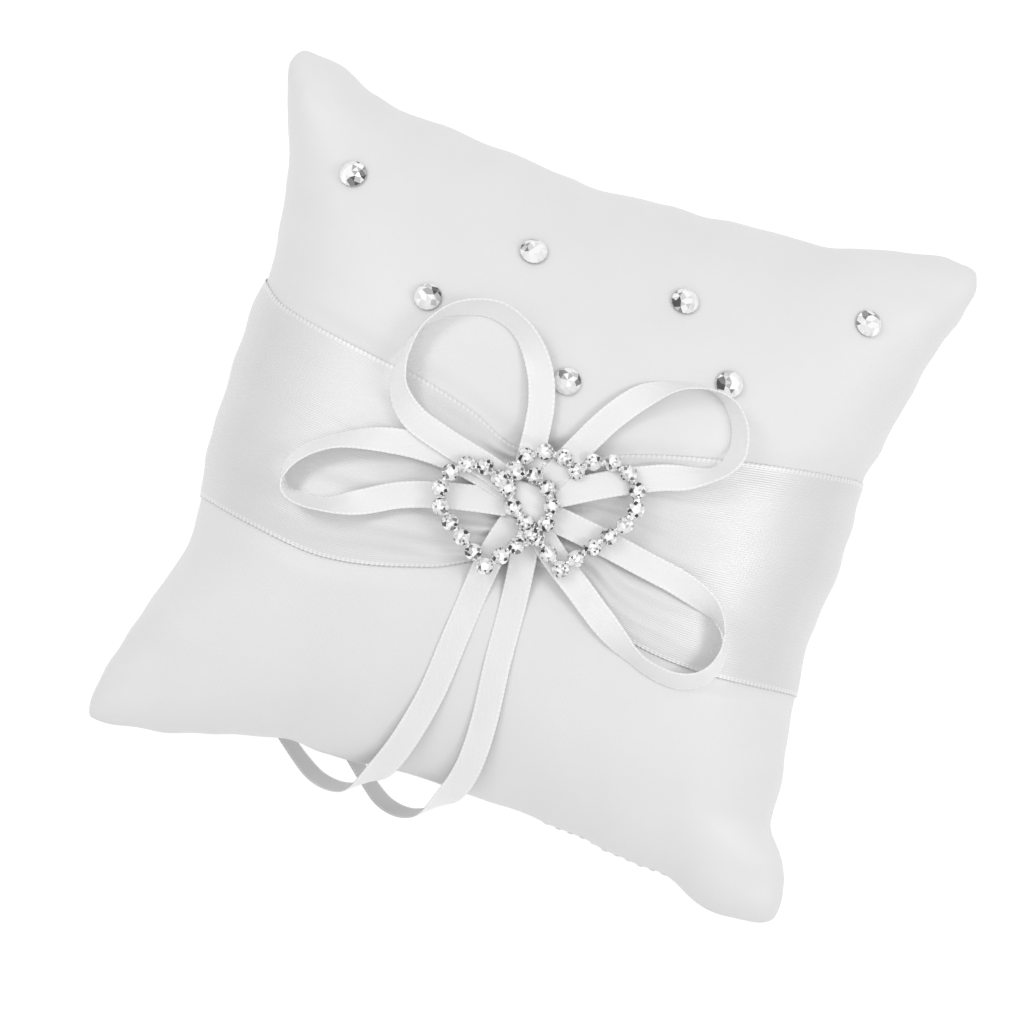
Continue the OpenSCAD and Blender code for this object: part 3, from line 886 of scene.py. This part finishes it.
def add_band():
    columns = ribbon_columns(BAND_FULL_W, BAND_LINES)
    angles = even_angles(BAND_LENGTH_STEPS)
    bm, uv = new_cloth()
    rows = []
    for a, s in angles:
        picot = 0.5 + 0.5 * sin(tau * s / PICOT_PITCH)
        rows.append([bm.verts.new(band_point(a, c * (1 + 0.012 * (picot - 0.5) if abs(c) == 1 else 1)))
                     for c in columns])
    total = angles[-1][1]
    count = len(rows) - 1
    for i in range(count):
        a, b = rows[i], rows[(i + 1) % count]
        for k in range(len(columns) - 1):
            face = bm.faces.new((a[k], b[k], b[k + 1], a[k + 1]))
            spots = ((i, k), (i + 1, k), (i + 1, k + 1), (i, k + 1))
            for loop, (ring, column) in zip(face.loops, spots):
                loop[uv].uv = (total * ring / count, columns[column] * BAND_FULL_W / 2)
    for vert in rows[-1]:
        bm.verts.remove(vert)
    bmesh.ops.recalc_face_normals(bm, faces=bm.faces[:])
    band = new_object("gathered_band", bm, [BAND_SATIN])
    thicken(band, BAND_CLOTH_T)
    finish_piece(band, "wide_band")


def even_angles(count):
    """(angle, distance along the band) at even distances round it."""
    points = [band_point(tau * i / FINE_STEPS, 0.0) for i in range(FINE_STEPS + 1)]
    reach = distances([Vector((p.x, 0, p.z)) for p in points])
    return [(tau * (k + share) / FINE_STEPS, s) for s, k, share in even_steps(reach, count)]


add_band()

# ---- the knot and the stitches ----

KNOT_SIZE = (0.009, 0.008, 0.002)
THREAD_R = 0.00018
THREAD_SIDES = 8


def add_knot():
    """The ribbon drawn twice round the middle of the bow, in soft folds."""
    around, along = 72, 28
    bm, uv = new_cloth()
    places = {}
    rows = []
    for j in range(along + 1):
        y = 2 * j / along - 1
        end = max(0.0, 1 - y**6) ** 0.5
        row = []
        for i in range(around):
            a = tau * i / around
            c, s = cos(a), sin(a)
            x = copysign(abs(c) ** 0.55, c)
            z = copysign(abs(s) ** 0.7, s)
            fold = 0.08 * sin(9 * y + 1.5 * x) * (1 - abs(x))
            point = (KNOT_AT.x + x * KNOT_SIZE[0] / 2 * (0.86 + 0.14 * end) * min(1, end * 2),
                     KNOT_AT.y + y * KNOT_SIZE[1] / 2,
                     KNOT_AT.z + (z + fold) * KNOT_SIZE[2] / 2 * min(1, end * 1.6))
            vert = bm.verts.new(point)
            places[vert] = (i / around * 0.02, y * RIBBON_W / 2)
            row.append(vert)
        rows.append(row)
    for a, b in zip(rows, rows[1:]):
        join_rings(bm, a, b)
    bmesh.ops.remove_doubles(bm, verts=bm.verts[:], dist=0.000001)
    lay_cloth(bm, uv, lambda vert: places.get(vert, (0, 0)))
    closed_piece("satin_knot", bm, BOW_SATIN, "bow_knot")


def thread_tube(bm, points):
    """A length of twisted thread through these points, added to the bmesh."""
    rows = []
    last = len(points) - 1
    for i, p in enumerate(points):
        t = direction(points, i)
        side = t.cross(Vector((0.3, 0.2, 0.93))).normalized()
        up = side.cross(t)
        r = THREAD_R * (0.6 if i in (0, last) else 1.0)
        row = []
        for k in range(THREAD_SIDES):
            a = tau * k / THREAD_SIDES + i * 0.5
            bead = 1 + 0.12 * cos(2 * a)
            row.append(bm.verts.new(p + (side * cos(a) + up * sin(a)) * r * bead))
        rows.append(row)
    loft(bm, rows)


# The closing stitches lie on the near side, at these places from -1 to 1 along it
CLOSING_COUNT = 11
CLOSING_FROM = 0.3
CLOSING_STEP = 0.035
LAP_COUNT = 9
LAP_PITCH = 0.0046


def add_closing_stitches():
    """Slip stitches that drew the last gap of the seam together."""
    bm = bmesh.new()
    for i in range(CLOSING_COUNT):
        x, y = plan(CLOSING_FROM + i * CLOSING_STEP, -1)
        points = []
        for k in range(9):
            a = pi * (k / 8 - 0.5)
            z = SEAM_Z - 0.0005 + 0.0007 * sin(a)
            points.append(Vector((x + 0.0012 * k / 8, y - 0.0001 * cos(a), z)))
        thread_tube(bm, points)
    closed_piece("slip_stitches", bm, THREAD, "closing_stitches")


def add_lap_stitches():
    """Running stitches through the band's lapped ends, in the middle of the back."""
    bm = bmesh.new()
    for i in range(LAP_COUNT):
        y = -0.0005 + (i - (LAP_COUNT - 1) / 2) * LAP_PITCH
        points = []
        for k in range(9):
            share = k / 8 - 0.5
            z = 0.0002 + 0.0006 * share**2
            points.append(Vector((0.0002 * sin(6 * share), y + 0.0026 * share, z)))
        thread_tube(bm, points)
    closed_piece("lap_stitches", bm, THREAD, "band_lap_stitches")


SEAM_INSET = 0.0012
SEAM_STITCH = 0.0025
SEAM_STEPS = 240


def add_seam_thread():
    """The lock-stitched thread inside the four edges, dipping at each stitch."""
    corners = [(-1, -1), (1, -1), (1, 1), (-1, 1)]
    points = []
    for (u0, v0), (u1, v1) in zip(corners, corners[1:] + corners[:1]):
        for i in range(SEAM_STEPS):
            u, v = mix(u0, u1, i / SEAM_STEPS), mix(v0, v1, i / SEAM_STEPS)
            x, y = plan(u, v, -SEAM_INSET)
            dip_z = 0.00012 * cos(tau * i * 0.00063 / SEAM_STITCH)
            points.append(Vector((x, y, SEAM_Z + dip_z)))
    points.append(points[0] + Vector((0.0001, 0, 0)))
    bm = bmesh.new()
    thread_tube(bm, points)
    closed_piece("seam_thread", bm, THREAD, "edge_seam_thread")


add_knot()
add_seam_thread()
add_closing_stitches()
add_lap_stitches()

# ---- the double heart buckle ----

# [centre x, y], lobe radius, half distance of the lobes, their height, tip depth, stones
LARGE_HEART = ((0.0078, -0.0033), 0.0075, 0.0060, 0.0033, 0.0127, 20)
SMALL_HEART = ((-0.0070, -0.0091), 0.0068, 0.0049, 0.0027, 0.0110, 18)
PLATE_T = 0.0010


class Heart:
    """Two round lobes and two straight sides that meet at a tip."""

    def __init__(self, sizes):
        self.centre, self.r, self.apart, self.high, self.tip, self.stones = sizes
        self.start = acos(-self.apart / self.r)
        dx, dy = self.apart, self.high + self.tip
        self.end = atan2(-dy, -dx) + acos(self.r / hypot(dx, dy))
        self.lobe = self.r * (self.start - self.end)
        self.side = sqrt(dx * dx + dy * dy - self.r**2)
        self.half = self.lobe + self.side

    def half_point(self, s):
        if s < self.lobe:
            a = self.start - s / self.r
            return self.apart + self.r * cos(a), self.high + self.r * sin(a)
        x = self.apart + self.r * cos(self.end)
        y = self.high + self.r * sin(self.end)
        share = (s - self.lobe) / self.side
        return x * (1 - share), mix(y, -self.tip, share)

    def point(self, s):
        """Plan point at distance s along the heart, in the frame of the pillow."""
        s %= 2 * self.half
        x, y = self.half_point(s) if s <= self.half else self.half_point(2 * self.half - s)
        x = x if s <= self.half else -x
        turn = radians(BUCKLE_TURN)
        return Vector((self.centre[0] + x * cos(turn) - y * sin(turn),
                       self.centre[1] + x * sin(turn) + y * cos(turn), 0))

    def stone_places(self):
        """(point, heading) of each stone."""
        out = []
        for i in range(self.stones):
            s = 2 * self.half * i / self.stones
            ahead = self.point(s + 0.0004) - self.point(s - 0.0004)
            out.append((self.point(s), atan2(ahead.y, ahead.x)))
        return out


SEAT_PROFILE = [(0.0012, 0.0), (0.00164, 0.00012), (0.0018, 0.00045), (0.00182, 0.00095),
                (0.00176, 0.00112), (0.00158, 0.00114), (0.00146, 0.00095), (0.0004, 0.0006)]
CLAW_PROFILE = [(0.00182, 0.0004, 0.00026), (0.0019, 0.0011, 0.00025), (0.00184, 0.0016, 0.00022),
                (0.00164, 0.00186, 0.00017), (0.00142, 0.0019, 0.0001)]
CLAW_T = 0.00026
LINK_HALF = 0.0009
LINK_T = 0.0004
LINK_ARCH = 0.0002


def add_setting(bm, place):
    """A round cup with four claws that hold one stone."""
    loft(bm, [ring_of(bm, place, r, z, 20) for r, z in SEAT_PROFILE])
    for k in range(4):
        add_claw(bm, place @ Matrix.Rotation(pi / 2 * k + pi / 4, 4, "Z"))


def add_claw(bm, place):
    rows = []
    for r, z, half in CLAW_PROFILE:
        inner, below = r - CLAW_T, z - CLAW_T / 3
        corners = ((r, -half, z), (r, half, z), (inner, half, below), (inner, -half, below))
        rows.append([bm.verts.new(place @ Vector(corner)) for corner in corners])
    loft(bm, rows)


def add_link(bm, start, end, z):
    """A small arched bar that joins two settings."""
    side = UP.cross((end - start).normalized())
    rows = []
    for i in range(7):
        arch = sin(pi * i / 6)
        p = start.lerp(end, i / 6) + UP * (z + LINK_ARCH * arch)
        half = LINK_HALF - LINK_ARCH * arch
        turns = [tau * k / 10 for k in range(10)]
        rows.append([bm.verts.new(p + side * half * cos(a) + UP * LINK_T * sin(a))
                     for a in turns])
    loft(bm, rows)


def add_frame(name, heart, z, node):
    bm = bmesh.new()
    places = heart.stone_places()
    for i, (p, heading) in enumerate(places):
        add_setting(bm, Matrix.Translation(p + UP * z) @ Matrix.Rotation(heading, 4, "Z"))
        add_link(bm, p, places[(i + 1) % len(places)][0], z + 0.0005)
    soften(closed_piece(name, bm, SILVER, node))


def soften(obj, angle=35):
    """Smooth shading with crisp edges where faces meet at more than this angle."""
    for edge in edges_over(obj, radians(angle)):
        edge.use_edge_sharp = True


def edges_over(obj, limit):
    bm = bmesh.new()
    bm.from_mesh(obj.data)
    sharp = {e.index for e in bm.edges if len(e.link_faces) == 2 and e.calc_face_angle(0) > limit}
    bm.free()
    return [obj.data.edges[i] for i in sharp]


STONE_D = 0.0035
STONE_TILT = 0.12
SEAT_Z = 0.0011
# The table's and the star tips' share of the radius, the crown's and the girdle's height
STONE_CUT = (0.48, 0.74, 0.0009, 0.0002)
CRYSTAL_CUT = (0.52, 0.76, CRYSTAL_H - 0.00035, 0.00035)


def cut_stone(bm, facet, place, d, sizes, draw):
    """A faceted crown: table, stars, kites and girdle facets, each with its own painted glint tone."""
    table_r, star_r, crown_h, girdle_h = sizes
    r = d / 2
    table = ring_of(bm, place, r * table_r, girdle_h + crown_h, 8)
    stars = ring_of(bm, place, r * star_r, girdle_h + crown_h * 0.55, 8, pi / 8)
    girdle = ring_of(bm, place, r, girdle_h, 16)
    lower = ring_of(bm, place, r, 0, 16)
    base = bm.verts.new(place @ Vector((0, 0, 0)))
    middle = bm.verts.new(place @ Vector((0, 0, girdle_h + crown_h)))
    facets = []

    def cut(kind, *corners):
        facets.append((bm.faces.new(corners), kind))

    for k in range(8):
        after = (k + 1) % 8
        cut("table", middle, table[k], table[after])
        cut("star", table[k], stars[k], table[after])
        cut("kite", table[k], stars[k - 1], girdle[2 * k], stars[k])
        cut("girdle", stars[k], girdle[2 * k], girdle[2 * k + 1])
        cut("girdle", stars[k], girdle[2 * k + 1], girdle[(2 * k + 2) % 16])
    facets += [(face, "rim") for face in join_rings(bm, lower, girdle)]
    for k in range(16):
        cut("rim", base, lower[(k + 1) % 16], lower[k])
    for face, kind in facets:
        tone = draw(kind)
        face.smooth = False
        for loop in face.loops:
            loop[facet] = (tone, tone, tone, 1)


def sparkle(rng):
    """Draws painted glints for a small stone: facet tones that stand in for reflections, mostly bright, with
    a few dark facets.
    """

    def draw(kind):
        if kind == "rim":
            return rng.uniform(0.25, 0.7)
        if kind == "table":
            return rng.choice((1.0, 1.0, 1.0, 0.9, 0.5))
        return rng.choice((1.0, 1.0, 1.0, 1.0, 0.7, 0.25, 0.0))

    return draw


def add_stones(name, heart, z, node, seed):
    rng = random.Random(seed)
    bm = bmesh.new()
    facet = bm.loops.layers.float_color.new("facet")
    for p, _ in heart.stone_places():
        turn = (Matrix.Rotation(rng.uniform(-STONE_TILT, STONE_TILT), 4, "X")
                @ Matrix.Rotation(rng.uniform(0, pi), 4, "Z"))
        cut_stone(bm, facet, Matrix.Translation(p + UP * z) @ turn, STONE_D, STONE_CUT,
                  sparkle(rng))
    closed_piece(name, bm, RHINESTONE, node, smooth=False)


large = Heart(LARGE_HEART)
small = Heart(SMALL_HEART)
add_frame("large_heart_settings", large, BUCKLE_Z, "large_heart_frame")
add_frame("small_heart_settings", small, BUCKLE_Z + PLATE_T / 2, "small_heart_frame")
add_stones("large_heart_rhinestones", large, BUCKLE_Z + SEAT_Z, "large_heart_stones", 11)
add_stones("small_heart_rhinestones", small, BUCKLE_Z + PLATE_T / 2 + SEAT_Z, "small_heart_stones", 23)

# ---- the flat-back crystals ----

GLUE_LIFT = 0.00015
GLUE_T = 0.0002
GLUE_PROFILE = [(0.0010, -0.0002), (0.0024, -0.0001), (0.0026, 0.0), (0.0025, GLUE_T), (0.0010, GLUE_T)]


def on_front(x, y):
    """Matrix that stands a piece on the front panel, square to it."""
    e = 0.0005
    slope_x = (model_top(x + e, y) - model_top(x - e, y)) / (2 * e)
    slope_y = (model_top(x, y + e) - model_top(x, y - e)) / (2 * e)
    normal = Vector((-slope_x, -slope_y, 1)).normalized()
    heading = Matrix.Rotation(atan2(normal.y, normal.x), 4, "Z")
    lean = Matrix.Rotation(acos(normal.z), 4, "Y")
    return Matrix.Translation((x, y, model_top(x, y))) @ heading @ lean


def glint(rng, light_from):
    """Draws painted glints for a flat crystal: facet tones bright on the side that light_from gives and dark
    on the other.
    """
    count = [0]

    def draw(kind):
        count[0] += 1
        if kind == "rim":
            return 0.3
        swing = 0.5 + 0.5 * cos(tau * count[0] / 40 + light_from)
        if kind == "table":
            return rng.choice((1.0, 1.0, 1.0, 0.8)) if swing > 0.3 else rng.choice((1.0, 0.7, 0.4))
        return rng.choice((1.0, 1.0, 0.9)) if swing > 0.45 else rng.choice((1.0, 0.6, 0.2, 0.0))

    return draw


def add_crystal(i, x, y):
    rng = random.Random(40 + i)
    bm = bmesh.new()
    facet = bm.loops.layers.float_color.new("facet")
    place = on_front(x, y) @ Matrix.Translation((0, 0, GLUE_LIFT + GLUE_T))
    turn = Matrix.Rotation(rng.uniform(0, tau), 4, "Z")
    cut_stone(bm, facet, place @ turn, CRYSTAL_D, CRYSTAL_CUT, glint(rng, rng.uniform(0, tau)))
    closed_piece(f"faceted_crystal_{i}", bm, FLAT_CRYSTAL, f"crystal_{i}", smooth=False)


def add_glue():
    bm = bmesh.new()
    for x, y in CRYSTAL_PLACES:
        place = on_front(x, y) @ Matrix.Translation((0, 0, GLUE_LIFT))
        loft(bm, [ring_of(bm, place, r * (1 + 0.03 * sin(9 * r + x)), z, 24) for r, z in GLUE_PROFILE])
    closed_piece("crystal_glue", bm, GLUE, "glue_dots")


for crystal_number, (crystal_x, crystal_y) in enumerate(CRYSTAL_PLACES, 1):
    add_crystal(crystal_number, crystal_x, crystal_y)
add_glue()

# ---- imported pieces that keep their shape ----


def repaint(node, material):
    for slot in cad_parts[node].material_slots:
        slot.material = material


repaint("bow_tack_thread", THREAD)
repaint("slider_bar", SILVER)

# ---- floor and light ----

# The floor is a white light table with a painted shadow: its glow fades in a rounded square where the pillow
# lies on it
FLOOR_DARK = 0.020
FLOOR_LIT = 0.067
FLOOR_SHADE = 0.15
FLOOR_GLOW = 0.87
FLOOR_TONE = (0.2, 0.2, 0.2, 1)
FLOOR_HALF = 3.0


def add_floor():
    mesh = bpy.data.meshes.new("floor")
    corners = [(-1, -1), (1, -1), (1, 1), (-1, 1)]
    mesh.from_pydata([(x * FLOOR_HALF, y * FLOOR_HALF, 0) for x, y in corners], [], [(0, 1, 2, 3)])
    n = Nodes("floor_white")
    n.set(Base_Color=FLOOR_TONE, Roughness=0.9, Emission_Color=(1, 1, 1, 1))
    place = n.add("ShaderNodeTexCoord")
    apart = n.add("ShaderNodeSeparateXYZ")
    n.link(place.outputs["Object"], apart.inputs[0])
    # painted shadow: the glow drops to FLOOR_SHADE inside a rounded square under the pillow
    away = n.math("ADD", n.math("POWER", n.math("ABSOLUTE", apart.outputs["X"]), 4),
                  n.math("POWER", n.math("ABSOLUTE", apart.outputs["Y"]), 4))
    away = n.math("POWER", away, 0.25)
    lit = n.add("ShaderNodeMapRange", From_Min=FLOOR_DARK, From_Max=FLOOR_LIT,
                To_Min=FLOOR_SHADE, To_Max=FLOOR_GLOW)
    lit.interpolation_type = "SMOOTHSTEP"
    n.link(away, lit.inputs["Value"])
    n.link(lit.outputs["Result"], n.shader.inputs["Emission Strength"])
    new_object("floor", mesh, [n.material], smooth=False)


def add_light(name, place, size, power):
    data = bpy.data.lights.new(name, "AREA")
    data.shape = "DISK"
    data.size = size
    data.energy = power
    light = bpy.data.objects.new(name, data)
    light.location = place
    light.rotation_euler = (Vector((0, 0, 0.03)) - Vector(place)).to_track_quat("-Z", "Y").to_euler()
    bpy.context.scene.collection.objects.link(light)


def add_world(at_horizon, overhead):
    """A white studio that is brighter overhead than at the horizon."""
    world = bpy.data.worlds.new("studio")
    world.use_nodes = True
    tree = world.node_tree
    place = tree.nodes.new("ShaderNodeTexCoord")
    apart = tree.nodes.new("ShaderNodeSeparateXYZ")
    tree.links.new(place.outputs["Generated"], apart.inputs[0])
    strength = tree.nodes.new("ShaderNodeMapRange")
    strength.inputs["To Min"].default_value = at_horizon
    strength.inputs["To Max"].default_value = overhead
    tree.links.new(apart.outputs["Z"], strength.inputs["Value"])
    tree.links.new(strength.outputs["Result"], tree.nodes["Background"].inputs["Strength"])
    tree.nodes["Background"].inputs["Color"].default_value = (1, 1, 1, 1)
    bpy.context.scene.world = world


add_floor()
add_world(0.40, 1.00)
add_light("left_softbox", (-0.60, 0.24, 0.80), 0.30, 1.4)
add_light("right_softbox", (0.64, 0.06, 0.74), 0.30, 1.6)
bpy.context.scene.view_settings.view_transform = "Standard"
